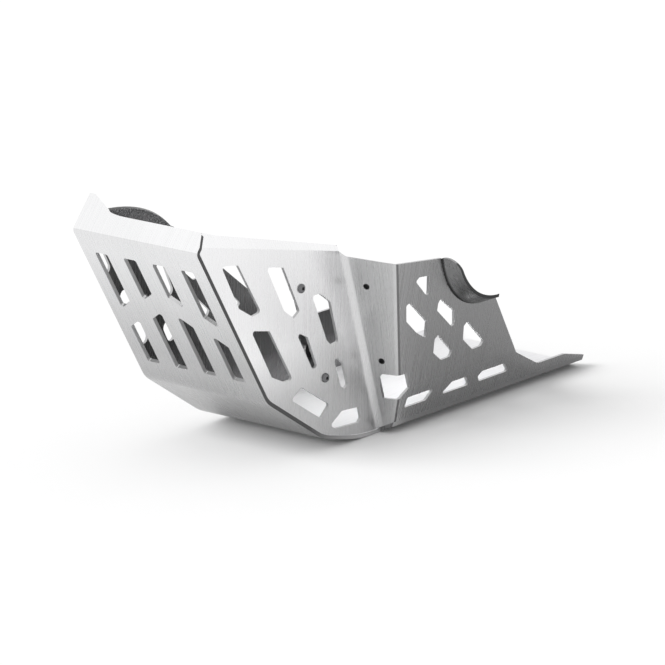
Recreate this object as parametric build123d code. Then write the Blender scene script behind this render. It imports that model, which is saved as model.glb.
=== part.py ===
# Motorcycle skid plate: a folded main plate with two folded side plates, a rolled collar in the left
# rear notch, and a mounting strap with its rubber grommet inside the left wing.
# Millimetres. X runs from the front to the tail, Y to the right-hand side, Z up. The origin is on the
# ground under the middle of the plate. Stations are measured rearward from the front fold.
import os
from math import cos, radians, sin, tan

from build123d import *

# Overall sizes and sheets
length = 598.0
main_sheet = 4.0
side_sheet = 3.0
main_half_width = 77.8
wing_recess = 1.2

# Main plate, as stations and heights of its outer face
front_height = 238.5
chin_station = 104.0
chin_height = 68.6
belly_station = 190.0
belly_height = 13.2
flat_station = 247.0
fold_radius = 6.0
chin_radius = 30.0
belly_radius = 60.0
flat_radius = 200.0

# Top lip of the main plate, measured up the lip from the fold
lip_lean = 40.0
lip_low = 23.0
lip_tip = 40.5
lip_tip_width = 7.0
lip_shoulder_height = 29.0
lip_shoulder_from_tip = 21.0
lip_flat_from_tip = 52.0
lip_near_round = 4.0
lip_near_taper = 5.5
lip_near_low = 7.7

# Slots of the front panel, measured down the slope from the fold
slot_width = 15.5
slot_columns = (18.0, 54.0)
slot_top = 27.0
slot_bottom = 174.0
slot_land = 25.0
slot_upper_end = 83.0
slot_column_drop = 18.5
slot_skew = 11.5
slot_corner = 2.5

# Turned-up edges of the bottom and the side plates that stand on them
edge_run = 16.1
edge_rise = 7.6
bevel_height = 48.5
bevel_lean = 18.0
rear_lean = 9.6
bend_station = 225.0
bend_height = 185.6
bend_rake = 0.30
shoulder_sweep = 15.8
bend_radius = 8.0
fold_inner_radius = 2.0

# Outline of the left rear panel and of the bevel behind it. Stations behind the start, and the notch, are
# drawn for one run to the tail, and they keep their share of it when the length changes.
rear_start_station = 245.0
rear_drawn_run = 353.0
rear_top_height = 188.5
notch_top_height = 180.0
bend_step = 3.0
notch_station = 394.0
notch_low = 116.5
notch_radius = 88.6
notch_rise = 58.6
rear_end_station = 416.0
rear_foot_station = 467.0
tail_low_station = 514.0
tail_low_height = 23.0
tail_foot_height = 46.5
tail_round_station = 560.0
tail_end_height = 13.5
tail_radii = [2.0, 4.0, 25.0, 18.0]

# Relief where the shoulder meets the rear panel and the bevel, about the fold at the bevel's top
relief_out = 10.5
relief_front = 9.0
relief_rear = 17.0
relief_rear_top = 8.5
relief_rear_low = 4.5
relief_up = 17.0
relief_down = 10.0

# Windows, as stations and heights of their corners
window_corner = 2.5
rear_window_corner = 2.0
wing_windows = [
    [(38, 219), (63, 215), (97, 162), (84, 160), (64, 172)],
    [(105, 204.5), (131, 199), (156, 150.5), (147, 145), (132, 155.5)],
    [(175, 161.5), (187, 161.5), (203, 150), (216, 107), (204.5, 105.5), (197.5, 112)],
    [(82, 146), (110, 140), (145, 84), (132, 84), (113, 93)],
    [(149.5, 131), (168, 121.5), (183, 88), (175, 88)],
    [(209, 89.5), (215, 90.5), (223, 83), (230.5, 60), (225, 56.5), (219, 61)],
    [(142.5, 63.5), (158.5, 73), (202, 46), (188.5, 34.5)],
    [(203, 24), (221, 35), (248, 33), (251, 21), (247, 17), (211, 19)],
]
rear_windows = [
    [(276, 163), (281, 166.5), (297, 165), (301, 143.5), (296, 145)],
    [(266, 140), (272, 142), (305, 115), (307, 97), (289, 107), (270, 122.5)],
    [(319, 131), (322, 135.5), (348.5, 117), (352, 102), (347.5, 100.5), (319, 123.5)],
    [(368.5, 96.5), (374, 100.5), (407, 72.5), (403, 67.5), (389, 67), (370.5, 81.5)],
    [(322, 92.5), (327, 96.5), (355, 72.5), (352, 67.5), (338, 67), (323, 78)],
]
bevel_windows = [
    [(292, 26), (293, 37), (336, 37), (327, 26)],
    [(350, 26.5), (365, 37.5), (388, 37.5), (397, 26.5)],
    [(414, 26.5), (409, 33), (415, 37.5), (451, 37.5), (463, 26.5)],
]
right_windows = [
    [(153, 182.5), (158.5, 186.5), (191.5, 158.5), (187.5, 153.5), (173.5, 153), (155, 167.5)],
    [(160.5, 140.5), (166, 144.5), (199, 116.5), (195, 111.5), (181, 111), (162.5, 125.5)],
    [(207.5, 138.5), (213, 142.5), (246, 114.5), (242, 109.5), (228, 109), (209.5, 123.5)],
]
right_slot_width = 12.0
right_slots = [
    ((29.5, 217), (43.5, 191.5)),
    ((70, 158.5), (98.5, 110)),
    ((124, 176), (136.5, 150)),
    ((134, 113), (139, 104)),
]

# Wing folds and lips
wing_fold_station = 9.0
wing_fold_height = 243.5
wing_fold_fall = 0.2187
wing_fold_length = 207.0
wing_lip_lean = 30.0
wing_lip_front = 16.0
wing_lip_knee = 13.0
wing_lip_knee_station = 26.0
wing_lip_rear = 6.4
dome_front = 10.0
dome_peak = 57.0
dome_height = 21.5
dome_length = 137.0

# Right side plate: its lower top edge, and the foot that turns out behind the bend
right_fall = 0.765
right_wall_height = 77.8
right_wall_end = 412.0
right_tail_station = 505.0
right_tail_height = 28.0
right_end_station = 535.0
right_end_height = 12.0
right_edge_radius = 20.0
right_foot_height = 51.8
right_foot_lean = 15.5

# Holes in the left shoulder and the threaded inserts pressed into them
shoulder_hole = 6.6
insert_bore = 5.0
insert_length = 13.0
shoulder_hole_out = 17.5
shoulder_hole_heights = (160.8, 79.8)

# Mounting strap and its fasteners
strap_screw_top = (158.0, 172.6)
strap_screw_low = (195.0, 74.6)
strap_sheet = 3.0
strap_width = 16.0
strap_offset = 9.0
strap_foot = 10.0
strap_upper_foot = 36.0
strap_leg_run = 9.0
strap_bend = 2.0
grommet_along = 72.6
grommet_groove = 11.0
grommet_flange = 15.0
grommet_lip = 3.0
ring_outer = 16.4
sleeve_outer = 8.0
sleeve_bore = 6.4
sleeve_overhang = 1.0
screw_size = 5.0
screw_clearance = 0.5
screw_head = 9.5
screw_head_height = 2.75
screw_head_round = 2.0
screw_socket = 3.0
screw_socket_depth = 1.6
screw_tip = 1.5
washer_outer = 10.0
washer_thick = 1.0
nut_across_flats = 8.0
nut_height = 5.0

# Collar of the left notch
collar_sheet = 3.0
collar_reach = 22.5
collar_end_rise = 54.0
collar_rise = 22.6
collar_corner = 12.0

# Reach of the tools that cut right through a sheet, and heights and widths beyond the whole part
cut_reach = 8.0
roof = 480.0
far = 900.0

# Derived places. The rounding of the front fold sets the foremost point back from station 0.
wing_face = main_half_width - wing_recess
edge_y = wing_face + edge_run
side_view = Plane.XZ
slope = Vector(chin_station, 0, chin_height - front_height).normalized()
lip_rise = Vector(sin(radians(lip_lean)), 0, cos(radians(lip_lean)))
fold_halving = (slope + lip_rise).normalized()
fold_setback = fold_radius * (fold_halving.X / fold_halving.cross(slope).length - 1)
middle = (length + fold_setback) / 2
rear_share = (length - rear_start_station) / rear_drawn_run
notch_curve = notch_radius * rear_share
notch_end = notch_rise * rear_share
collar_end = collar_end_rise * rear_share
flare = Vector(0, cos(radians(collar_rise)), sin(radians(collar_rise)))


def at(station, height):
    return (station - middle, height)


def place(station, y, height):
    return Vector(station - middle, y, height)


def rear(station):
    return rear_start_station + (station - rear_start_station) * rear_share


def at_rear(station, height):
    return at(rear(station), height)


def bend_at(height):
    return bend_station + bend_rake * (bend_height - height)


def bevel_y(height):
    return edge_y + (height - edge_rise) * tan(radians(bevel_lean))


def rear_y(height):
    return bevel_y(bevel_height) + (height - bevel_height) * tan(radians(rear_lean))


def foot_y(height):
    return wing_face + (right_foot_height - height) * tan(radians(right_foot_lean))


def shoulder_point(y, height):
    return place(bend_at(height) + (y - wing_face) * tan(radians(shoulder_sweep)), y, height)


def wing_top(station):
    return wing_fold_height - wing_fold_fall * (station - wing_fold_station)


# Closed outline with rounded corners, as a face
def rounded(points, radius):
    return make_face(FilletPolyline(*points, radius=radius, close=True).edges())


# Prism seen in side view, reaching from the middle out past the right-hand side
def side_prism(face):
    return extrude(side_view * face, amount=-far / 2)


# Points of a path moved to its left by a distance, with mitred corners
def moved_left(points, distance):
    lines = []
    for a, b in zip(points, points[1:]):
        run = Vector(b[0] - a[0], b[1] - a[1]).normalized()
        left = Vector(-run.Y, run.X) * distance
        lines.append((Vector(*a) + left, Vector(*b) + left, run))
    moved = [lines[0][0]]
    for (_, end, run), (start, _, turn) in zip(lines, lines[1:]):
        reach = (start - end).cross(turn).Z / run.cross(turn).Z
        moved.append(end + run * reach)
    moved.append(lines[-1][1])
    return [(p.X, p.Y) for p in moved]


# Outer and inner faces of the main plate, from the lip's tip to the tail
main_outer = [
    at(lip_tip * lip_rise.X, front_height + lip_tip * lip_rise.Z),
    at(0, front_height),
    at(chin_station, chin_height),
    at(belly_station, belly_height),
    at(flat_station, 0),
    at(length, 0),
]
main_inner = moved_left(main_outer, main_sheet)
main_radii = [fold_radius, chin_radius, belly_radius, flat_radius]
inner_radii = [radius - main_sheet for radius in main_radii]


# Space behind the inner face of the main plate, which the side plates fill
def inner_space():
    inner = FilletPolyline(*main_inner, radius=inner_radii)
    walls = Polyline(main_inner[-1], at(length, roof), (main_inner[0][0], roof), main_inner[0])
    return extrude(side_view * make_face(inner.edges() + walls.edges()), amount=far / 2, both=True)


def front_slots():
    panel = Plane(place(0, 0, front_height), x_dir=(0, -1, 0), z_dir=(slope.Z, 0, -slope.X))
    cuts = []
    for column, centre in enumerate(slot_columns):
        inner, outer = centre - slot_width / 2, centre + slot_width / 2
        end = slot_upper_end + column * slot_column_drop
        start = end + slot_land
        upper = [(inner, -slot_top), (outer, -slot_top), (outer, -end), (inner, slot_skew - end)]
        lower = [(inner, slot_skew - start), (outer, -start), (outer, -slot_bottom), (inner, -slot_bottom)]
        for outline in (upper, lower):
            slot = extrude(panel * rounded(outline, slot_corner), amount=cut_reach, both=True)
            cuts += [slot, mirror(slot, about=Plane.XZ)]
    return cuts


# What is cut from the lip: it stands tall at its right end only
def lip_cut():
    plane = Plane(place(0, 0, front_height), x_dir=(0, -1, 0), z_dir=(-lip_rise.Z, 0, lip_rise.X))
    right = lip_tip_width - main_half_width
    shoulder = (right + lip_shoulder_from_tip, lip_shoulder_height)
    flat = (right + lip_flat_from_tip, lip_low)
    near = main_half_width - lip_near_taper
    curve = Spline(shoulder, flat, tangents=((1, -1), (1, 0)))
    corner = (main_half_width, lip_near_low)
    rest = FilletPolyline(flat, (near, lip_low), corner, radius=lip_near_round)
    closing = Polyline(corner, (far, lip_near_low), (far, far), (right, far), (right, lip_tip), shoulder)
    outline = make_face(curve.edges() + rest.edges() + closing.edges())
    return extrude(plane * outline, amount=cut_reach, both=True)


# Turned-up edge of the bottom, from the shoulder to the tail. Its end is flush with the bevel.
def bottom_edge():
    seat_run = (edge_seat.Y - edge_y) / tan(radians(bevel_lean))
    section = Polyline(
        (wing_face, 0), (edge_y, edge_rise), (edge_seat.Y, edge_rise + seat_run),
        (edge_knee.Y, edge_knee.Z), (edge_knee.Y, 0), close=True,
    )
    start = Plane(place(bend_at(0), 0, 0), x_dir=(0, 1, 0), z_dir=(1, 0, 0))
    return extrude(start * make_face(section.edges()), amount=length - bend_at(0))


def main_plate():
    outer = FilletPolyline(*main_outer, radius=main_radii)
    inner = FilletPolyline(*main_inner, radius=inner_radii)
    caps = [Line(main_outer[0], main_inner[0]), Line(main_outer[-1], main_inner[-1])]
    section = make_face(outer.edges() + inner.edges() + caps)
    sheet = extrude(side_view * section, amount=main_half_width, both=True)
    edge = bottom_edge()
    block = Box(far, far, far, align=(Align.MIN, Align.MIN, Align.CENTER))
    trim = Pos(place(bend_at(0), wing_face, 0)) * block
    for side in (edge, mirror(edge, about=Plane.XZ)):
        outside = trim if side is edge else mirror(trim, about=Plane.XZ)
        sheet = sheet - outside + side
    for cut in [lip_cut(), *front_slots()]:
        sheet -= cut
    return sheet


# Slab of sheet behind an outer face
def slab(origin, normal):
    return extrude(Plane(origin, z_dir=normal) * Rectangle(far * 2, far * 2), amount=-side_sheet)


# Trims a facet on the plane that halves the angle to its neighbour
def mitre(facet, fold_point, normal, neighbour, outside_corner=True):
    side = Keep.TOP if outside_corner else Keep.BOTTOM
    return split(facet, bisect_by=Plane(fold_point, z_dir=normal - neighbour), keep=side)


wing_normal = Vector(0, 1, 0)
shoulder_normal = Vector(-1, tan(radians(shoulder_sweep)), -bend_rake).normalized()
rear_normal = Vector(0, cos(radians(rear_lean)), -sin(radians(rear_lean)))
bevel_normal = Vector(0, cos(radians(bevel_lean)), -sin(radians(bevel_lean)))
foot_normal = Vector(0, cos(radians(right_foot_lean)), sin(radians(right_foot_lean)))
wing_run = Vector(1, 0, -wing_fold_fall).normalized()
wing_up = Vector(-wing_run.Z, 0, wing_run.X)
lip_up = wing_up * cos(radians(wing_lip_lean)) + Vector(0, -1, 0) * sin(radians(wing_lip_lean))
lip_normal = lip_up.cross(wing_run)
bend_point = shoulder_point(wing_face, bend_height)
rear_fold_point = shoulder_point(rear_y(rear_top_height), rear_top_height)
seam_point = shoulder_point(bevel_y(edge_rise), edge_rise)
foot_point = shoulder_point(wing_face, right_foot_height)
foot_seam_point = shoulder_point(foot_y(edge_rise), edge_rise)
relief_point = shoulder_point(bevel_y(bevel_height), bevel_height)
bevel_fold_point = place(rear_end_station, bevel_y(bevel_height), bevel_height)
wing_fold_point = place(wing_fold_station, wing_face, wing_fold_height)


# Turned-up edge: where it leaves the flat, and where its upper face meets the bevel's outer face
edge_slope = Vector(0, edge_run, edge_rise).normalized()
edge_knee = Vector(0, wing_face - main_sheet * (1 - edge_slope.Y) / edge_slope.Z, main_sheet)
edge_face = Vector(0, -edge_slope.Z, edge_slope.Y)
edge_gap = (edge_knee - Vector(0, edge_y, edge_rise)).dot(edge_face)
bevel_rise = Vector(0, sin(radians(bevel_lean)), cos(radians(bevel_lean)))
edge_seat = Vector(0, edge_y, edge_rise) + bevel_rise * (edge_gap / bevel_rise.dot(edge_face))


# Outline of a side plate in side view, under its top edge. The wing's reaches up past the lip.
def side_outline(edge, with_lip):
    first = edge[0] @ 0
    if with_lip:
        front = Polyline(at(0, 0), at(0, roof), (first.X, roof), (first.X, first.Y))
    else:
        front = Line((first.X, 0), (first.X, first.Y))
    last = edge[-1] @ 1
    start = front @ 0
    base = Polyline((last.X, last.Y), (last.X, 0), (start.X, 0))
    curves = [*front.edges(), *base.edges()]
    for curve in edge:
        curves += curve.edges()
    return make_face(curves)


# How far the notch, or the collar inside it, reaches forward of its foot at a rise above it
def notch_run(radius, rise):
    return (radius**2 - (notch_curve - rise) ** 2) ** 0.5


# Top edge of the left side plate, from the end of its lip to the tail, before the notch is cut
def left_edge():
    fold_end = wing_fold_station + wing_fold_length
    corner = rear_fold_point.X + middle
    notch_top = rear(notch_station) - notch_run(notch_curve, notch_end)
    rear_top = at_rear(rear_end_station, notch_top_height)
    top = Polyline(
        at(fold_end, wing_top(fold_end)), at(bend_at(rear_top_height), rear_top_height + bend_step),
        at(corner, rear_top_height), at(notch_top, notch_top_height), rear_top,
    )
    tail = FilletPolyline(
        rear_top, at_rear(rear_end_station, notch_low), at_rear(rear_foot_station, tail_foot_height),
        at_rear(tail_low_station, tail_low_height), at_rear(tail_round_station, tail_low_height),
        at(length, tail_end_height), radius=tail_radii,
    )
    return [top, tail]


# Top edge of the right side plate: it falls straight from the dome to a low wall, which runs out
def right_edge():
    fold_end = wing_fold_station + dome_length * wing_run.X
    start = wing_top(fold_end)
    wall = fold_end + (start - right_wall_height) / right_fall
    return [FilletPolyline(
        at(fold_end, start), at(wall, right_wall_height), at_rear(right_wall_end, right_wall_height),
        at_rear(right_tail_station, right_tail_height), at_rear(right_end_station, right_end_height),
        radius=right_edge_radius,
    )]


# Lip along the top of a wing. Its outline is measured forward along the fold and up the lip.
def wing_lip(outline):
    plane = Plane(wing_fold_point, x_dir=-wing_run, z_dir=lip_normal)
    lip = extrude(plane * outline, amount=-side_sheet)
    return mitre(lip, wing_fold_point, lip_normal, wing_normal)


def left_lip():
    rear = wing_fold_length / wing_run.X
    points = [(0, -cut_reach), (0, wing_lip_front), (-wing_lip_knee_station, wing_lip_knee),
              (-rear, wing_lip_rear), (-rear, -cut_reach)]
    return make_face(Polyline(*points, close=True).edges())


def right_lip():
    crown = Spline((0, dome_front), (-dome_peak, dome_height), (-dome_length, 0))
    rest = Polyline((-dome_length, 0), (-dome_length, -cut_reach), (0, -cut_reach), (0, dome_front))
    return make_face(crown.edges() + rest.edges())


# Relief cut where the shoulder, the rear panel and the bevel meet
def corner_relief():
    fold = relief_point.X + middle
    high, low = bevel_height + relief_up, bevel_height - relief_down
    outline = [
        at(fold - relief_front, high), at(fold + relief_rear_top, high), at(fold + relief_rear, bevel_height),
        at(fold + relief_rear_low, low), at(fold - relief_front, low),
    ]
    prism = side_prism(make_face(Polyline(*outline, close=True).edges()))
    return Pos(0, wing_face + relief_out, 0) * prism


# Windows whose corners are placed along the wing, or along the rear
def windows(outlines, radius, spot=at):
    return [side_prism(rounded([spot(*point) for point in outline], radius)) for outline in outlines]


# Straight slots with round ends, each from one end's centre to the other's
def round_slots(ends, width):
    cuts = []
    for start, end in ends:
        line = Line(at(*start), at(*end))
        along = Plane(line @ 0, x_dir=line % 0, z_dir=(0, 0, 1))
        slot = SlotCenterToCenter(line.length, width)
        cuts.append(side_prism(along * Pos(line.length / 2, 0) * slot))
    return cuts


# Axis planes of the shoulder's holes, on its outer face and looking inward
def shoulder_axes():
    spots = [shoulder_point(wing_face + shoulder_hole_out, height) for height in shoulder_hole_heights]
    return [Plane(spot, z_dir=-shoulder_normal) for spot in spots]


# Threaded inserts, flush with the shoulder's outer face
def shoulder_inserts():
    inserts = []
    for axis in shoulder_axes():
        insert = tube(axis, 0, insert_length, shoulder_hole, insert_bore)
        inserts += mirror(insert, about=Plane.XZ).solids()
    return Compound(inserts)


# What stands on the bottom inside the main plate, and on the bottom's turned-up edge
def seated(plate):
    seat = Plane(place(0, edge_knee.Y, edge_knee.Z), z_dir=edge_face)
    return split(plate & inner_space(), bisect_by=seat, keep=Keep.TOP)


def left_sheet(edge, lip):
    wing_prism = side_prism(side_outline(edge, True))
    rear_prism = side_prism(side_outline(edge, False))
    wing = mitre(slab(bend_point, wing_normal), bend_point, wing_normal, shoulder_normal, False)
    wing = mitre(wing, wing_fold_point, wing_normal, lip_normal) & wing_prism
    shoulder = mitre(slab(bend_point, shoulder_normal), bend_point, shoulder_normal, wing_normal, False)
    shoulder = mitre(shoulder, rear_fold_point, shoulder_normal, rear_normal)
    shoulder = mitre(shoulder, seam_point, shoulder_normal, bevel_normal) & rear_prism
    rear = mitre(slab(rear_fold_point, rear_normal), rear_fold_point, rear_normal, shoulder_normal)
    rear = mitre(rear, bevel_fold_point, rear_normal, bevel_normal) & rear_prism
    bevel = mitre(slab(seam_point, bevel_normal), seam_point, bevel_normal, shoulder_normal)
    bevel = mitre(bevel, bevel_fold_point, bevel_normal, rear_normal) & rear_prism
    plate = wing + shoulder + rear + bevel + wing_lip(lip)
    up = wing_normal.cross(shoulder_normal)
    foot = shoulder_point(wing_face, 0)
    plate = plate + (spandrel(foot, up, wing_normal, shoulder_normal, bend_radius, -1) & rear_prism)
    behind = fold_depth(wing_normal, shoulder_normal)
    plate -= spandrel(foot - behind, up, wing_normal, shoulder_normal, bend_radius + side_sheet, -1)
    for run, normal in ((1, rear_normal), (-1, bevel_normal)):
        along = normal.cross(shoulder_normal) * run
        plate -= spandrel(relief_point, along, shoulder_normal, normal, fold_inner_radius + side_sheet, 1)
        behind = fold_depth(shoulder_normal, normal)
        filling = spandrel(relief_point - behind, along, shoulder_normal, normal, fold_inner_radius, 1)
        plate += filling & rear_prism
    return seated(plate)


# The right wing stays flat behind the bend. Under the fold its foot turns out to the bottom's edge, and a
# corner of shoulder closes the foot's front.
def right_sheet(edge, lip):
    wing_prism = side_prism(side_outline(edge, True))
    rear_prism = side_prism(side_outline(edge, False))
    wing = mitre(slab(bend_point, wing_normal), wing_fold_point, wing_normal, lip_normal)
    front = mitre(wing, bend_point, wing_normal, shoulder_normal, False) & wing_prism
    behind = mitre(wing, foot_point, wing_normal, foot_normal, False) & wing_prism
    shoulder = mitre(slab(bend_point, shoulder_normal), bend_point, shoulder_normal, wing_normal, False)
    shoulder = mitre(shoulder, foot_seam_point, shoulder_normal, foot_normal) & rear_prism
    foot = mitre(slab(foot_point, foot_normal), foot_point, foot_normal, wing_normal, False)
    foot = mitre(foot, foot_seam_point, foot_normal, shoulder_normal) & rear_prism
    return seated(front + behind + shoulder + foot + wing_lip(lip))


# From the outer corner of a fold to its inner corner
def fold_depth(normal, neighbour):
    return (normal + neighbour) * (side_sheet / (1 + normal.dot(neighbour)))


# What lies between the corner of a fold and the arc that rounds it, along the fold from a point.
# The neighbour turns back from the first facet, or forward where turn is negative.
def spandrel(corner, along, normal, neighbour, radius, turn):
    first = along.cross(normal).normalized()
    second = along.cross(neighbour).normalized()
    if first.dot(neighbour) * turn > 0:
        first = -first
    if second.dot(normal) * turn > 0:
        second = -second
    half = radians(first.get_angle(second)) / 2
    start, end = corner + first * (radius / tan(half)), corner + second * (radius / tan(half))
    crown = corner + (first + second).normalized() * (radius / sin(half) - radius)
    outline = [ThreePointArc(start, crown, end), Line(end, corner), Line(corner, start)]
    return extrude(make_face(outline), amount=far / 2, dir=along.normalized())


def left_side_plate():
    plate = left_sheet(left_edge(), left_lip())
    screw_hole = Circle((screw_size + screw_clearance) / 2)
    for spot in (strap_screw_top, strap_screw_low):
        plate -= side_prism(Pos(*at(*spot)) * screw_hole)
    for axis in shoulder_axes():
        plate -= tube(axis, -cut_reach, cut_reach, shoulder_hole)
    openings = windows(wing_windows, window_corner)
    openings += windows(rear_windows + bevel_windows, rear_window_corner, at_rear)
    for cut in [notch_cut(), corner_relief(), *openings]:
        plate -= cut
    return mirror(plate, about=Plane.XZ)


def right_side_plate():
    plate = right_sheet(right_edge(), right_lip())
    for cut in windows(right_windows, window_corner) + round_slots(right_slots, right_slot_width):
        plate -= cut
    return plate


# Square to the flare of the collar, from the place where the notch's foot meets the rear panel
flare_plane = Plane(place(rear(notch_station), rear_y(notch_low), notch_low), x_dir=(1, 0, 0), z_dir=-flare)


# Quarter-round notch in the left rear panel
def notch_cut():
    top = (-notch_run(notch_curve, notch_end), notch_end)
    walls = Polyline((0, 0), (far, 0), (far, far), (top[0], far), top)
    outline = make_face([RadiusArc(top, (0, 0), -notch_curve), *walls.edges()])
    return extrude(flare_plane * outline, amount=far / 2, both=True)


# Rolled strip that lines the left notch and flares out from it, with one rounded corner
def notch_collar():
    inner_radius = notch_curve - collar_sheet
    top = (-notch_run(notch_curve, collar_end), collar_end)
    inner_top = (-notch_run(inner_radius, collar_end), collar_end)
    outline = [
        RadiusArc(top, (0, 0), -notch_curve),
        Line((0, 0), (0, collar_sheet)),
        RadiusArc((0, collar_sheet), inner_top, inner_radius),
        Line(inner_top, top),
    ]
    collar = extrude(flare_plane * make_face(outline), amount=far / 2, both=True)
    panel = Plane(rear_fold_point, z_dir=rear_normal)
    reach = flare.dot(rear_normal)
    collar = split(collar, bisect_by=panel.offset(-side_sheet), keep=Keep.TOP)
    collar = split(collar, bisect_by=panel.offset(collar_reach * reach), keep=Keep.BOTTOM)
    tip = flare_plane.from_local_coords(Vector(top[0] - collar_sheet, collar_end, 0))
    corner = tip + flare * (collar_reach - (tip - rear_fold_point).dot(rear_normal) / reach)
    across = Vector(0, -flare.Z, flare.Y)
    return collar - spandrel(corner, Vector(1, 0, 0), across, rear_normal, collar_corner, 1)


# Plane across the strap's length: along it from the upper screw, and inward from the wing
strap_line = Vector(strap_screw_low[0] - strap_screw_top[0], 0, strap_screw_low[1] - strap_screw_top[1])
strap_plane = Plane(
    place(strap_screw_top[0], wing_face - side_sheet, strap_screw_top[1]),
    x_dir=strap_line, z_dir=strap_line.cross(Vector(0, -1, 0)),
)


# Axis plane of a fastener or grommet at a distance along the strap, looking inward from the wing
def strap_axis(along):
    return Plane(strap_plane.from_local_coords(Vector(along, 0, 0)), x_dir=strap_line, z_dir=(0, -1, 0))


def tube(plane, start, end, outer, inner=0.0):
    ring = Circle(outer / 2)
    if inner > 0:
        ring -= Circle(inner / 2)
    return extrude(plane.offset(start) * ring, amount=end - start)


def mount_strap():
    span = strap_line.length
    path = [
        (-strap_foot, 0), (strap_upper_foot, 0), (strap_upper_foot + strap_leg_run, strap_offset),
        (span - strap_foot - strap_leg_run, strap_offset), (span - strap_foot, 0), (span + strap_foot, 0),
    ]
    inner = moved_left(path, strap_sheet)
    wide, tight = strap_bend + strap_sheet, strap_bend
    outline = [
        *FilletPolyline(*path, radius=[tight, wide, wide, tight]).edges(),
        *FilletPolyline(*inner, radius=[wide, tight, tight, wide]).edges(),
        Line(path[0], inner[0]),
        Line(path[-1], inner[-1]),
    ]
    strap = extrude(strap_plane * make_face(outline), amount=strap_width / 2, both=True)
    for along in (0, span):
        strap -= tube(strap_axis(along), -cut_reach, cut_reach, screw_size + screw_clearance)
    strap -= tube(strap_axis(grommet_along), 0, strap_offset + cut_reach, grommet_groove)
    return strap


# Rubber grommet that grips the strap's hole between two flanges
def strap_grommet():
    axis = strap_axis(grommet_along)
    inner, outer = strap_offset, strap_offset + strap_sheet
    grommet = tube(axis, inner, outer, grommet_groove, sleeve_outer)
    grommet += tube(axis, inner - grommet_lip, inner, grommet_flange, sleeve_outer)
    return grommet + tube(axis, outer, outer + grommet_lip, grommet_flange, sleeve_outer)


# Steel ring round the grommet's outer flange
def strap_ring():
    axis = strap_axis(grommet_along)
    return tube(axis, strap_offset - grommet_lip, strap_offset, ring_outer, grommet_flange)


def strap_sleeve():
    start = strap_offset - grommet_lip - sleeve_overhang
    end = strap_offset + strap_sheet + grommet_lip + sleeve_overhang
    return tube(strap_axis(grommet_along), start, end, sleeve_outer, sleeve_bore)


# Button-head screw with a hexagon socket, its head on the wing's outer face
def strap_screw(along):
    axis = strap_axis(along)
    tip = strap_sheet + washer_thick + nut_height + screw_tip
    head = tube(axis, -side_sheet - screw_head_height, -side_sheet, screw_head)
    rim = head.edges().filter_by(GeomType.CIRCLE).sort_by(Axis.Y)[-1]
    head = chamfer(rim, screw_head_round)
    top = axis.offset(-side_sheet - screw_head_height)
    socket = extrude(top * RegularPolygon(screw_socket / 2, 6, major_radius=False), amount=screw_socket_depth)
    return head - socket + tube(axis, -side_sheet, tip, screw_size)


def strap_washer(along):
    return tube(strap_axis(along), strap_sheet, strap_sheet + washer_thick, washer_outer, screw_size)


def strap_nut(along):
    seat = strap_axis(along).offset(strap_sheet + washer_thick)
    section = RegularPolygon(nut_across_flats / 2, 6, major_radius=False) - Circle(screw_size / 2)
    return extrude(seat * section, amount=nut_height)


# One of a fastener at each end of the strap, on the left-hand side
def pair(make):
    fasteners = [mirror(make(along), about=Plane.XZ) for along in (0, strap_line.length)]
    return Compound([solid for fastener in fasteners for solid in fastener.solids()])


os.makedirs("parts", exist_ok=True)
left = Plane.XZ
nodes = {
    "main_plate": main_plate(),
    "left_side_plate": left_side_plate(),
    "right_side_plate": right_side_plate(),
    "left_notch_collar": mirror(notch_collar(), about=left),
    "left_mount_strap": mirror(mount_strap(), about=left),
    "strap_screws": pair(strap_screw),
    "strap_washers": pair(strap_washer),
    "strap_nuts": pair(strap_nut),
    "shoulder_inserts": shoulder_inserts(),
    "strap_grommet": mirror(strap_grommet(), about=left),
    "strap_ring": mirror(strap_ring(), about=left),
    "strap_sleeve": mirror(strap_sleeve(), about=left),
}
for name, solid in nodes.items():
    solid.label = name
    export_step(solid, f"parts/{name}.step")
    print(name, len(solid.solids()), round(solid.volume), solid.is_valid)
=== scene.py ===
import math

import bpy
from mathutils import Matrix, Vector


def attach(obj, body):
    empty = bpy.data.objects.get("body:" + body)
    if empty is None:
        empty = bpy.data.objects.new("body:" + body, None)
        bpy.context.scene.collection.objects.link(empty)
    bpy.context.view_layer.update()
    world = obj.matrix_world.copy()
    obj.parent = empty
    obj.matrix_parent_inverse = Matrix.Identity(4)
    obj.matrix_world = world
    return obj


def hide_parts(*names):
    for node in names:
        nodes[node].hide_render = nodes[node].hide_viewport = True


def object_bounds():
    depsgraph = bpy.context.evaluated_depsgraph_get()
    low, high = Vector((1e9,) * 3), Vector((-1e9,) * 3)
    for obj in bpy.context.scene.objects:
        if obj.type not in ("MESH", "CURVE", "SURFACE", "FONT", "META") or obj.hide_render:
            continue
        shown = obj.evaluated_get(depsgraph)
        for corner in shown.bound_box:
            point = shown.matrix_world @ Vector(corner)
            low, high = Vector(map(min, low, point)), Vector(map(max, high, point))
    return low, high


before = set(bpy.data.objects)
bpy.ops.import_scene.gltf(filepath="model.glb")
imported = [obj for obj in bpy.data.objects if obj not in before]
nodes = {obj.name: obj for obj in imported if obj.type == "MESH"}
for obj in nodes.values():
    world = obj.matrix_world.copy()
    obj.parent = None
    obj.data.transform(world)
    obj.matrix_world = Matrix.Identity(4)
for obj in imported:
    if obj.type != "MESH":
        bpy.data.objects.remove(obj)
cadLow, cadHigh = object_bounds()
print("frame loaded:", len(nodes), "nodes")


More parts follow.
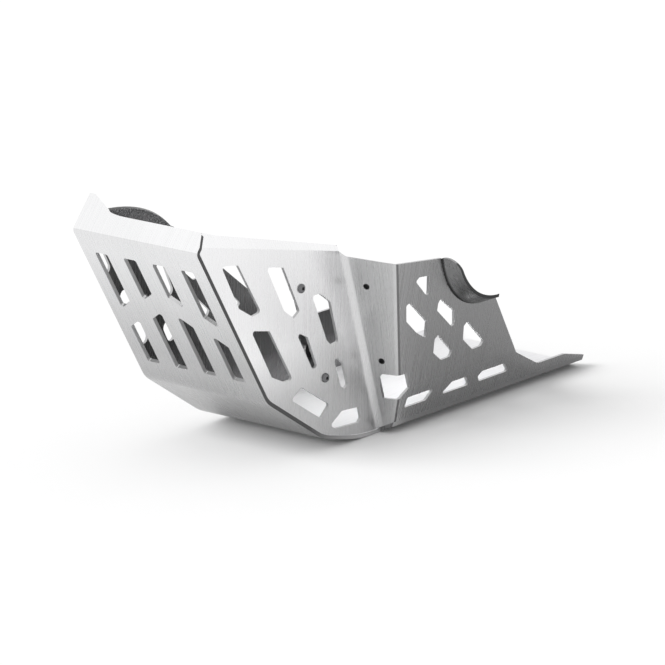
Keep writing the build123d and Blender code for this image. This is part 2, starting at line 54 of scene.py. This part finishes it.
# small helpers for shader and geometry trees
def addNode(tree, kind, inputs=None, **settings):
    node = tree.nodes.new(kind)
    for name, value in settings.items():
        setattr(node, name, value)
    for name, value in (inputs or {}).items():
        socket = node.inputs[name]
        if isinstance(value, bpy.types.NodeSocket):
            tree.links.new(value, socket)
        else:
            socket.default_value = value
    return node


def mathOf(tree, operation, first, second=0.0):
    node = addNode(tree, "ShaderNodeMath", {0: first, 1: second}, operation=operation)
    return node.outputs[0]


def rangeOf(tree, value, low, high, toLow, toHigh):
    node = addNode(tree, "ShaderNodeMapRange", {
        "Value": value, "From Min": low, "From Max": high, "To Min": toLow, "To Max": toHigh})
    return node.outputs["Result"]


# nought before the start, one from the full value on
def fade(tree, value, start, full):
    return rangeOf(tree, value, start, full, 0.0, 1.0)


def dotOf(tree, first, second):
    node = addNode(tree, "ShaderNodeVectorMath", {0: first, 1: second}, operation="DOT_PRODUCT")
    return node.outputs["Value"]


def partsOf(tree, vector):
    return addNode(tree, "ShaderNodeSeparateXYZ", {0: vector}).outputs


def mixTone(tree, factor, first, second):
    node = addNode(tree, "ShaderNodeMix", {0: factor, 2: first, 3: second}, data_type="FLOAT")
    return node.outputs[0]


def startMaterial(name):
    material = bpy.data.materials.new(name)
    material.use_nodes = True
    tree = material.node_tree
    tree.nodes.clear()
    output = addNode(tree, "ShaderNodeOutputMaterial")
    shader = addNode(tree, "ShaderNodeBsdfPrincipled")
    tree.links.new(shader.outputs["BSDF"], output.inputs["Surface"])
    return material, tree, shader


def wear(material, *names):
    for name in names:
        data = nodes[name].data
        data.materials.clear()
        data.materials.append(material)


# brushed sheet: long streaks, a tone for each folded panel that paints its light and shade, and dull cut
# edges
noiseSpan = (0.3, 0.7)                # most of a noise lies between these
brushedMetal = {
    "tint": (1.0, 1.0, 1.007, 1.0),
    "grainDepth": 0.045,
    "drift": 0.03,                    # slow unevenness over the sheet
    "driftScale": 7.0,
    "rough": 0.28,
    "roughDrift": 0.05,
    "edgeRough": 0.55,
    "bump": 0.08,
    "bumpDepth": 0.0002,
}
# each pair of facings, places or heights gives where a tone starts and where it is full
sideSheet = dict(
    brushedMetal,
    grain=(820.0, 820.0, 9.0),        # streaks run up each panel
    stripAcross=(0.2724, -0.9622, 0.0),
    stripGrain=(-0.70, -0.88),
    low=0.55,                         # tone at the bottom of the wing, painted shade darker towards the bottom
    high=0.88,                        # tone of the wing's upper half
    shadedHeights=(0.06, 0.118),
    # painted highlight: the upward-facing lip is paler
    lip=0.92,
    lipFacing=(0.25, 0.40),
    strip=0.58,                       # painted shade on the shoulder that faces forward
    stripFacing=(-0.50, -0.60),
    bend=0.68,                        # painted highlight along the bend
    bendFromWing=(-0.04, -0.30),
    bendFromStrip=(-0.92, -0.84),
    bendReach=(-0.088, -0.084),       # how far out the bend's round goes
    # painted shade: the rear panel and its bevel are darker
    rear=0.58,
    rearDown=(-0.06, -0.10),
    rearOut=(-0.60, -0.75),
    rearBack=(-0.60, -0.50),
    rearReach=(-0.0890, -0.0905),
    bevel=0.66,
    bevelFacing=(-0.20, -0.28),
    ridgeShade=0.17,                       # painted shade on the fold behind the shoulder
    ridgeFacing=(-0.04, -0.12),
    inward=(-0.008, -0.012),          # facing times place, which is negative on inner faces
    inside=(0.085, 0.13),             # painted shade on inner faces, darkest behind the lower windows, a little lighter near the top
    insideHeights=(0.10, 0.14),
    insideMiddle=0.27,                # painted light, a paler patch in the middle of the far sheet
    middleStations=(-0.16, -0.10),
    middleHeights=(0.085, 0.120),
    foot=(0.28, 0.085),               # painted light, the right sheet's foot turns paler towards the pale floor inside
    footHeights=(0.018, 0.050),
    footTop=0.055,
    edge=0.62,
    edgeFacing=(0.15, 0.05),
)
mainSheet = dict(
    brushedMetal,
    grain=(9.0, 820.0, 9.0),          # streaks run down the front and along the bottom
    # painted shade: the front is darker towards the bottom
    low=0.50,
    high=0.78,
    shadedHeights=(0.105, 0.22),
    chinShade=0.32,                        # painted shade under the chin and the belly
    chinHeights=(0.03, 0.09),
    foldHeight=0.228,                 # where the front folds into its lip
    # painted highlight: the upward-facing lip is paler
    lip=0.93,
    lipFacing=(0.20, 0.30),
    floor=0.93,                       # painted light on the up-facing inner face of the bottom, which the mill left dull
    floorFacing=(0.75, 0.85),
    floorRough=0.95,
    slotWall=0.50,
    slotWallFacing=(0.8, 0.9),
    slotRun=(0.522, 0.0, -0.853),     # down the front, square to the slots' ends
    slotEndFacing=(0.97, 0.985),
    outline=0.10,                     # the cut edge along the wing, darkened by painted shade of the gap beside it
    outlineSide=0.072,
    outlineEnds=(-0.05, -0.13),
)
collarSheet = dict(
    brushedMetal,
    grain=(60.0, 400.0, 60.0),
    # painted shade: the collar's face and rims are darker than the panel
    face=0.34,
    seamShade=0.06,                        # painted shade, a dark line where the collar leaves the panel
    seamReach=(0.0972, 0.0990),
    panelFacing=(0.0, -0.985, -0.173),
    edge=0.08,
    edgeFacing=(0.75, 0.85),
)


def streaks(tree, place, scale):
    mapping = addNode(tree, "ShaderNodeMapping", {"Vector": place, "Scale": scale})
    fine = addNode(tree, "ShaderNodeTexNoise", {
        "Vector": mapping.outputs[0], "Scale": 1.0, "Detail": 4.0, "Roughness": 0.6})
    return fine.outputs["Fac"]


# share of the round fold between the wing and the shoulder, where the painted highlight goes
def bendShare(tree, look, facing, spot):
    turned = mathOf(tree, "MULTIPLY",
                    fade(tree, facing["X"], *look["bendFromWing"]),
                    fade(tree, facing["X"], *look["bendFromStrip"]))
    return mathOf(tree, "MULTIPLY", turned, fade(tree, spot["Y"], *look["bendReach"]))


# share of the rear panel with its bevel and the fold in front of it, where the painted shade goes
def rearShare(tree, look, facing, spot):
    rear = mathOf(tree, "MULTIPLY",
                  fade(tree, facing["Z"], *look["rearDown"]),
                  fade(tree, facing["Y"], *look["rearOut"]))
    outside = mathOf(tree, "MULTIPLY",
                     fade(tree, facing["X"], *look["rearBack"]),
                     fade(tree, spot["Y"], *look["rearReach"]))
    return mathOf(tree, "MULTIPLY", rear, outside)


# painted shade of the rear panel, its bevel and the dark fold
def rearShadeTone(tree, look, facing):
    tone = rangeOf(tree, facing["Z"], *look["bevelFacing"], look["rear"], look["bevel"])
    return mixTone(tree, fade(tree, facing["X"], *look["ridgeFacing"]), tone, look["ridgeShade"])


# painted shade on the inner faces, with painted light on the far sheet's middle and near the floor
def insideTone(tree, look, spot):
    tone = rangeOf(tree, spot["Z"], *look["insideHeights"], *look["inside"])
    middle = mathOf(tree, "MULTIPLY",
                    fade(tree, spot["X"], *look["middleStations"]),
                    fade(tree, spot["Z"], *look["middleHeights"]))
    tone = mixTone(tree, middle, tone, look["insideMiddle"])
    foot = rangeOf(tree, spot["Z"], *look["footHeights"], *look["foot"])
    return mixTone(tree, mathOf(tree, "LESS_THAN", spot["Z"], look["footTop"]), tone, foot)


# tones of the folded side sheet, painted light and shade: wing darker towards the bottom, lip, shoulder,
# bend, rear panel and inner faces
def sideTone(tree, look, normal, place):
    facing, spot = partsOf(tree, normal), partsOf(tree, place)
    tone = rangeOf(tree, spot["Z"], *look["shadedHeights"], look["low"], look["high"])
    tone = mixTone(tree, fade(tree, facing["Z"], *look["lipFacing"]), tone, look["lip"])
    tone = mixTone(tree, fade(tree, facing["X"], *look["stripFacing"]), tone, look["strip"])
    tone = mixTone(tree, bendShare(tree, look, facing, spot), tone, look["bend"])
    tone = mixTone(tree, rearShare(tree, look, facing, spot), tone, rearShadeTone(tree, look, facing))
    inward = fade(tree, mathOf(tree, "MULTIPLY", facing["Y"], spot["Y"]), *look["inward"])
    tone = mixTone(tree, inward, tone, insideTone(tree, look, spot))
    edge = fade(tree, mathOf(tree, "ABSOLUTE", facing["Y"]), *look["edgeFacing"])
    return tone, edge, look["edge"], look["rough"]


# streaks run straight up the wing and the rear panel, and up the shoulder along its own slope
def sideGrain(tree, look, normal, place):
    facing, spot = partsOf(tree, normal), partsOf(tree, place)
    strip = fade(tree, facing["X"], *look["stripGrain"])
    over = mixTone(tree, strip, spot["X"], dotOf(tree, place, look["stripAcross"]))
    return addNode(tree, "ShaderNodeCombineXYZ", {"X": over, "Z": spot["Z"]}).outputs[0]


def plainGrain(tree, look, normal, place):
    return place


# tones of the main sheet, painted light and shade: paler up the front, dark under the chin, pale on the
# lip and its inner floor, and dark along its outline
def mainTone(tree, look, normal, place):
    facing, spot = partsOf(tree, normal), partsOf(tree, place)
    tone = rangeOf(tree, spot["Z"], *look["shadedHeights"], look["low"], look["high"])
    tone = mixTone(tree, fade(tree, spot["Z"], *look["chinHeights"]), look["chinShade"], tone)
    below = mathOf(tree, "LESS_THAN", spot["Z"], look["foldHeight"])
    above = mathOf(tree, "SUBTRACT", 1.0, below)
    lip = mathOf(tree, "MULTIPLY", fade(tree, facing["Z"], *look["lipFacing"]), above)
    tone = mixTone(tree, lip, tone, look["lip"])
    inner = mathOf(tree, "MULTIPLY", fade(tree, facing["Z"], *look["floorFacing"]), below)
    tone = mixTone(tree, inner, tone, look["floor"])
    wall = fade(tree, mathOf(tree, "ABSOLUTE", facing["Y"]), *look["slotWallFacing"])
    along = mathOf(tree, "ABSOLUTE", dotOf(tree, normal, look["slotRun"]))
    slotEnd = mathOf(tree, "MULTIPLY", fade(tree, along, *look["slotEndFacing"]), below)
    edge = mathOf(tree, "MAXIMUM", wall, slotEnd)
    aside = mathOf(tree, "ABSOLUTE", spot["Y"])
    outline = mathOf(tree, "MULTIPLY",
                     mathOf(tree, "GREATER_THAN", aside, look["outlineSide"]),
                     fade(tree, spot["X"], *look["outlineEnds"]))
    edgeTone = mixTone(tree, outline, look["slotWall"], look["outline"])
    return tone, edge, edgeTone, mixTone(tree, inner, look["rough"], look["floorRough"])


# the collar's rims face sideways; painted shade darkens its face, its rims and the line along the panel
def collarTone(tree, look, normal, place):
    facing = partsOf(tree, normal)
    edge = fade(tree, mathOf(tree, "ABSOLUTE", facing["Y"]), *look["edgeFacing"])
    out = dotOf(tree, place, look["panelFacing"])
    tone = rangeOf(tree, out, *look["seamReach"], look["seamShade"], look["face"])
    return tone, edge, look["edge"], look["rough"]


def brushedSheet(name, look, toneOf, grainOf):
    material, tree, shader = startMaterial(name)
    coords = addNode(tree, "ShaderNodeTexCoord")
    place, normal = coords.outputs["Object"], coords.outputs["Normal"]
    grain = streaks(tree, grainOf(tree, look, normal, place), look["grain"])
    drift = addNode(tree, "ShaderNodeTexNoise", {
        "Vector": place, "Scale": look["driftScale"], "Detail": 1.0}).outputs["Fac"]
    depth = look["grainDepth"]
    shade = mathOf(tree, "ADD",
                   rangeOf(tree, grain, *noiseSpan, 1.0 - depth, 1.0 + depth),
                   rangeOf(tree, drift, *noiseSpan, -look["drift"], look["drift"]))
    face, edge, edgeTone, rough = toneOf(tree, look, normal, place)
    tone = mixTone(tree, edge, mathOf(tree, "MULTIPLY", shade, face), edgeTone)
    hue = addNode(tree, "ShaderNodeHueSaturation", {"Value": tone, "Color": look["tint"]})
    tree.links.new(hue.outputs[0], shader.inputs["Base Color"])
    roughDrift = rangeOf(tree, grain, *noiseSpan, -look["roughDrift"], look["roughDrift"])
    faceRough = mathOf(tree, "ADD", roughDrift, rough)
    tree.links.new(mixTone(tree, edge, faceRough, look["edgeRough"]), shader.inputs["Roughness"])
    bump = addNode(tree, "ShaderNodeBump", {
        "Strength": look["bump"], "Distance": look["bumpDepth"], "Height": grain})
    tree.links.new(bump.outputs[0], shader.inputs["Normal"])
    shader.inputs["Metallic"].default_value = 1.0
    return material


sheetSide = brushedSheet("brushedSideSheet", sideSheet, sideTone, sideGrain)
sheetMain = brushedSheet("brushedMainSheet", mainSheet, mainTone, plainGrain)
sheetCollar = brushedSheet("rolledCollarSheet", collarSheet, collarTone, plainGrain)
wear(sheetMain, "main_plate")
wear(sheetSide, "left_side_plate", "right_side_plate")
wear(sheetCollar, "left_notch_collar")
print("sheet finishes on")


# strap, fasteners and grommet
smallParts = {"shade": 0.08, "roughDrift": 0.06, "bump": 0.15, "bumpDepth": 0.0001}
evenGrain = (300.0, 300.0, 300.0)
strapFinish = dict(smallParts, tint=(0.30, 0.30, 0.305, 1.0), grain=(40.0, 500.0, 40.0), rough=0.42)
steelFinish = dict(smallParts, tint=(0.16, 0.16, 0.165, 1.0), grain=evenGrain, rough=0.20)
brightFinish = dict(smallParts, tint=(0.80, 0.80, 0.80, 1.0), grain=evenGrain, rough=0.22)
# painted shade: the threaded inserts are tinted near black for the shade in their bores
boreShadeFinish = dict(smallParts, tint=(0.06, 0.06, 0.062, 1.0), grain=evenGrain, rough=0.45)
rubberFinish = dict(smallParts, tint=(0.025, 0.025, 0.026, 1.0), grain=(900.0, 900.0, 900.0), rough=0.62)


def plainFinish(name, look, metallic):
    material, tree, shader = startMaterial(name)
    place = addNode(tree, "ShaderNodeTexCoord").outputs["Object"]
    grain = streaks(tree, place, look["grain"])
    shade = rangeOf(tree, grain, *noiseSpan, 1.0 - look["shade"], 1.0 + look["shade"])
    hue = addNode(tree, "ShaderNodeHueSaturation", {"Value": shade, "Color": look["tint"]})
    tree.links.new(hue.outputs[0], shader.inputs["Base Color"])
    smoothest, roughest = look["rough"] - look["roughDrift"], look["rough"] + look["roughDrift"]
    rough = rangeOf(tree, grain, *noiseSpan, smoothest, roughest)
    tree.links.new(rough, shader.inputs["Roughness"])
    bump = addNode(tree, "ShaderNodeBump", {
        "Strength": look["bump"], "Distance": look["bumpDepth"], "Height": grain})
    tree.links.new(bump.outputs[0], shader.inputs["Normal"])
    shader.inputs["Metallic"].default_value = metallic
    return material


strapMetal = plainFinish("satinStrap", strapFinish, 1.0)
fastenerSteel = plainFinish("fastenerSteel", steelFinish, 1.0)
brightSteel = plainFinish("turnedSteel", brightFinish, 1.0)
boreShadeSteel = plainFinish("threadedInsert", boreShadeFinish, 1.0)
grommetRubber = plainFinish("grommetRubber", rubberFinish, 0.0)
wear(strapMetal, "left_mount_strap")
wear(fastenerSteel, "strap_washers", "strap_nuts")
wear(brightSteel, "strap_sleeve", "strap_ring")
wear(boreShadeSteel, "shoulder_inserts")
wear(grommetRubber, "strap_grommet")
print("strap and fastener finishes on")


# the strap's two button-head screws, turned from one profile with a hexagon socket
screwSet = {
    "First Place": (-0.141686, -0.0766, 0.1726),
    "Last Place": (-0.104686, -0.0766, 0.0746),
    "Head Radius": 0.00475,
    "Head Height": 0.00275,
    "Shank Radius": 0.0025,
    "Shank Length": 0.0135,
    "Tip Chamfer": 0.0004,
    "Socket Width": 0.003,
    "Socket Depth": 0.0016,
    "Twist": 0.45,
    "Material": fastenerSteel,
}
screwSides = 48
domeSteps = 5
rimShare = 0.2                        # straight part of the head's height
mouthShare = 0.64                     # radius of the socket's mouth, as a share of its width
socketLead = 0.00012                  # small chamfer into the socket
socketCone = 0.0003                   # drill point at the bottom of the socket
weldDistance = 0.00001
creaseAngle = 0.6
socketKinds = {tuple: "NodeSocketVector", float: "NodeSocketFloat"}


# one value for each row of the profile
def rowValues(tree, row, values):
    node = addNode(tree, "GeometryNodeIndexSwitch", data_type="FLOAT")
    while len(node.index_switch_items) < len(values):
        node.index_switch_items.new()
    tree.links.new(row, node.inputs["Index"])
    for place, value in enumerate(values, 1):
        if isinstance(value, bpy.types.NodeSocket):
            tree.links.new(value, node.inputs[place])
        else:
            node.inputs[place].default_value = value
    return node.outputs[0]


# radius, height and hexagon share of each row, from the shank's tip to the bottom of the socket
def screwRows(tree, given):
    tip = mathOf(tree, "MULTIPLY", given["Shank Length"], -1.0)
    rim = mathOf(tree, "MULTIPLY", given["Head Height"], rimShare)
    mouth = mathOf(tree, "MULTIPLY", given["Socket Width"], mouthShare)
    half = mathOf(tree, "MULTIPLY", given["Socket Width"], 0.5)
    bottom = mathOf(tree, "SUBTRACT", given["Head Height"], given["Socket Depth"])
    rows = [(0.0, tip, 0.0),
            (mathOf(tree, "SUBTRACT", given["Shank Radius"], given["Tip Chamfer"]), tip, 0.0),
            (given["Shank Radius"], mathOf(tree, "ADD", tip, given["Tip Chamfer"]), 0.0),
            (given["Shank Radius"], 0.0, 0.0),
            (given["Head Radius"], 0.0, 0.0),
            (given["Head Radius"], rim, 0.0)]
    for step in range(1, domeSteps + 1):
        turn = math.pi / 2 * step / domeSteps
        rows.append((mixTone(tree, 1.0 - math.cos(turn), given["Head Radius"], mouth),
                     mixTone(tree, math.sin(turn), rim, given["Head Height"]), 0.0))
    rows.append((half, mathOf(tree, "SUBTRACT", given["Head Height"], socketLead), 1.0))
    rows.append((half, bottom, 1.0))
    rows.append((0.0, mathOf(tree, "SUBTRACT", bottom, socketCone), 0.0))
    return rows


def screwTree():
    tree = bpy.data.node_groups.new("buttonScrewTree", "GeometryNodeTree")
    tree.interface.new_socket("Geometry", in_out="OUTPUT", socket_type="NodeSocketGeometry")
    for name, value in screwSet.items():
        kind = socketKinds.get(type(value), "NodeSocketMaterial")
        tree.interface.new_socket(name, in_out="INPUT", socket_type=kind)
    given = addNode(tree, "NodeGroupInput").outputs
    rows = screwRows(tree, given)
    grid = addNode(tree, "GeometryNodeMeshGrid", {
        "Size X": 1.0, "Size Y": 1.0, "Vertices X": screwSides + 1, "Vertices Y": len(rows)})
    at = partsOf(tree, addNode(tree, "GeometryNodeInputPosition").outputs[0])
    turn = rangeOf(tree, at["X"], -0.5, 0.5, 0.0, 2.0 * math.pi)
    row = mathOf(tree, "ROUND", rangeOf(tree, at["Y"], -0.5, 0.5, 0.0, len(rows) - 1.0))
    radius, height, share = (rowValues(tree, row, column) for column in zip(*rows))
    corner = mathOf(tree, "SUBTRACT", mathOf(tree, "MODULO", turn, math.pi / 3), math.pi / 6)
    hexagon = mathOf(tree, "DIVIDE", radius, mathOf(tree, "COSINE", corner))
    reach = mixTone(tree, share, radius, hexagon)
    spun = addNode(tree, "ShaderNodeCombineXYZ", {
        "X": mathOf(tree, "MULTIPLY", reach, mathOf(tree, "COSINE", turn)),
        "Y": mathOf(tree, "MULTIPLY", reach, mathOf(tree, "SINE", turn)),
        "Z": height})
    body = addNode(tree, "GeometryNodeSetPosition", {
        "Geometry": grid.outputs["Mesh"], "Position": spun.outputs[0]})
    body = addNode(tree, "GeometryNodeMergeByDistance", {
        "Geometry": body.outputs[0], "Distance": weldDistance})
    body = addNode(tree, "GeometryNodeSetShadeSmooth", {"Geometry": body.outputs[0]}, domain="FACE")
    bent = addNode(tree, "GeometryNodeInputMeshEdgeAngle").outputs["Unsigned Angle"]
    sharp = addNode(tree, "FunctionNodeCompare", {0: bent, 1: creaseAngle}, operation="GREATER_THAN")
    body = addNode(tree, "GeometryNodeSetShadeSmooth", {
        "Geometry": body.outputs[0], "Selection": sharp.outputs[0],
        "Shade Smooth": False}, domain="EDGE")
    line = addNode(tree, "GeometryNodeMeshLine", {
        "Count": 2, "Start Location": given["First Place"],
        "Offset": given["Last Place"]}, mode="END_POINTS")
    heads = addNode(tree, "GeometryNodeInstanceOnPoints", {
        "Points": line.outputs[0], "Instance": body.outputs[0], "Rotation": (math.pi / 2, 0.0, 0.0)})
    order = addNode(tree, "GeometryNodeInputIndex").outputs[0]
    twist = addNode(tree, "ShaderNodeCombineXYZ", {"Z": mathOf(tree, "MULTIPLY", order, given["Twist"])})
    twist = addNode(tree, "FunctionNodeEulerToRotation", {"Euler": twist.outputs[0]})
    heads = addNode(tree, "GeometryNodeRotateInstances", {
        "Instances": heads.outputs[0], "Rotation": twist.outputs[0], "Local Space": True})
    solid = addNode(tree, "GeometryNodeRealizeInstances", {"Geometry": heads.outputs[0]})
    solid = addNode(tree, "GeometryNodeSetMaterial", {
        "Geometry": solid.outputs[0], "Material": given["Material"]})
    addNode(tree, "NodeGroupOutput", {0: solid.outputs[0]})
    return tree


def makeScrews():
    seed = bpy.data.objects.new("screwSeed", bpy.data.meshes.new("screwSeed"))
    bpy.context.scene.collection.objects.link(seed)
    modifier = seed.modifiers.new("buttonScrews", "NODES")
    modifier.node_group = screwTree()
    for item in modifier.node_group.interface.items_tree:
        if item.in_out == "INPUT":
            modifier[item.identifier] = screwSet[item.name]
    mesh = bpy.data.meshes.new_from_object(seed.evaluated_get(bpy.context.evaluated_depsgraph_get()))
    seed.modifiers.remove(modifier)
    bpy.data.objects.remove(seed)
    screws = bpy.data.objects.new("buttonScrews", mesh)
    bpy.context.scene.collection.objects.link(screws)
    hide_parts("strap_screws")
    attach(screws, "root")
    return len(mesh.polygons)


print("screws turned:", makeScrews(), "faces")


# floor, soft key light and the white surroundings
studio = {
    "floorTint": (0.93, 0.93, 0.93, 1.0),
    "floorHalf": 14.0,
    "floorDrop": 0.0002,
    "dullRough": 0.9,
    "worldSeen": 1.0,
    "worldFill": 0.64,
    "keyFrom": (-0.80, 0.30, 0.52),   # low enough to reach under the belly
    "keyStrength": 2.8,
    "keySpread": math.radians(40.0),
    "bayPlace": (0.05, 0.0, 0.50),    # a small gridded box over the engine bay
    "baySize": (0.26, 0.06),
    "bayPower": 0.055,
    "baySpread": math.radians(24.0),
    # a dark card laid beside the rear panel, seen only in the metal
    "cardCorners": ((0.0, -0.095), (0.28, -0.45), (0.75, -0.45), (0.75, -0.095)),
    "cardTint": (0.36, 0.36, 0.36, 1.0),
    "cardDrop": 0.0001,
}


def layCard(name, corners, height, tint):
    mesh = bpy.data.meshes.new(name)
    mesh.from_pydata([(across, along, height) for across, along in corners], [], [(0, 1, 2, 3)])
    card = bpy.data.objects.new(name, mesh)
    bpy.context.scene.collection.objects.link(card)
    material, tree, shader = startMaterial(name)
    shader.inputs["Base Color"].default_value = tint
    shader.inputs["Roughness"].default_value = studio["dullRough"]
    shader.inputs["Specular IOR Level"].default_value = 0.0
    mesh.materials.append(material)
    return card


def makeFloor():
    half = studio["floorHalf"]
    corners = ((-half, -half), (half, -half), (half, half), (-half, half))
    layCard("studioFloor", corners, cadLow.z - studio["floorDrop"], studio["floorTint"])
    cardHeight = cadLow.z - studio["cardDrop"]
    card = layCard("darkCard", studio["cardCorners"], cardHeight, studio["cardTint"])
    card.visible_camera = False
    card.visible_diffuse = False
    card.visible_shadow = False
    card.visible_transmission = False


# seen and mirrored the world is white, and it fills the shadows a little less
def makeWorld():
    world = bpy.data.worlds.new("studioWorld")
    bpy.context.scene.world = world
    world.use_nodes = True
    tree = world.node_tree
    back = tree.nodes["Background"]
    back.inputs["Color"].default_value = (1.0, 1.0, 1.0, 1.0)
    path = addNode(tree, "ShaderNodeLightPath").outputs
    seen = mathOf(tree, "ADD", path["Is Camera Ray"], path["Is Glossy Ray"])
    seen = mathOf(tree, "ADD", seen, path["Is Transmission Ray"])
    strength = rangeOf(tree, seen, 0.0, 1.0, studio["worldFill"], studio["worldSeen"])
    tree.links.new(strength, back.inputs["Strength"])


# the key shapes the shadow, and the metal mirrors the white surroundings instead of it
def makeKey():
    lamp = bpy.data.lights.new("keyLight", "SUN")
    lamp.energy = studio["keyStrength"]
    lamp.angle = studio["keySpread"]
    key = bpy.data.objects.new("keyLight", lamp)
    bpy.context.scene.collection.objects.link(key)
    key.rotation_euler = (-Vector(studio["keyFrom"])).to_track_quat("-Z", "Y").to_euler()
    key.visible_glossy = False


def makeBayBox():
    lamp = bpy.data.lights.new("bayBox", "AREA")
    lamp.shape = "RECTANGLE"
    lamp.size, lamp.size_y = studio["baySize"]
    lamp.energy = studio["bayPower"]
    lamp.spread = studio["baySpread"]
    box = bpy.data.objects.new("bayBox", lamp)
    bpy.context.scene.collection.objects.link(box)
    box.location = studio["bayPlace"]
    box.visible_camera = False


makeFloor()
makeWorld()
makeKey()
makeBayBox()
print("studio lit")


# camera as the photograph was taken, from the front left
photoView = {
    "target": (0.00189, 0.0, 0.08431),
    "azimuth": 51.169,
    "elevation": 15.420,
    "distance": 5.5,
    "focalPixels": 5500.0,
    "imageSide": 665.0,
    "sensor": 36.0,
}


def makeCamera():
    turn, rise = math.radians(photoView["azimuth"]), math.radians(photoView["elevation"])
    back = Vector((-math.sin(turn) * math.cos(rise), -math.cos(turn) * math.cos(rise), math.sin(rise)))
    data = bpy.data.cameras.new("photoCamera")
    data.sensor_width = photoView["sensor"]
    data.lens = photoView["focalPixels"] / photoView["imageSide"] * photoView["sensor"]
    camera = bpy.data.objects.new("photoCamera", data)
    bpy.context.scene.collection.objects.link(camera)
    camera.location = Vector(photoView["target"]) + back * photoView["distance"]
    camera.rotation_euler = (-back).to_track_quat("-Z", "Y").to_euler()
    bpy.context.scene.camera = camera


makeCamera()
bpy.context.scene.view_settings.view_transform = "Standard"
print("camera set")
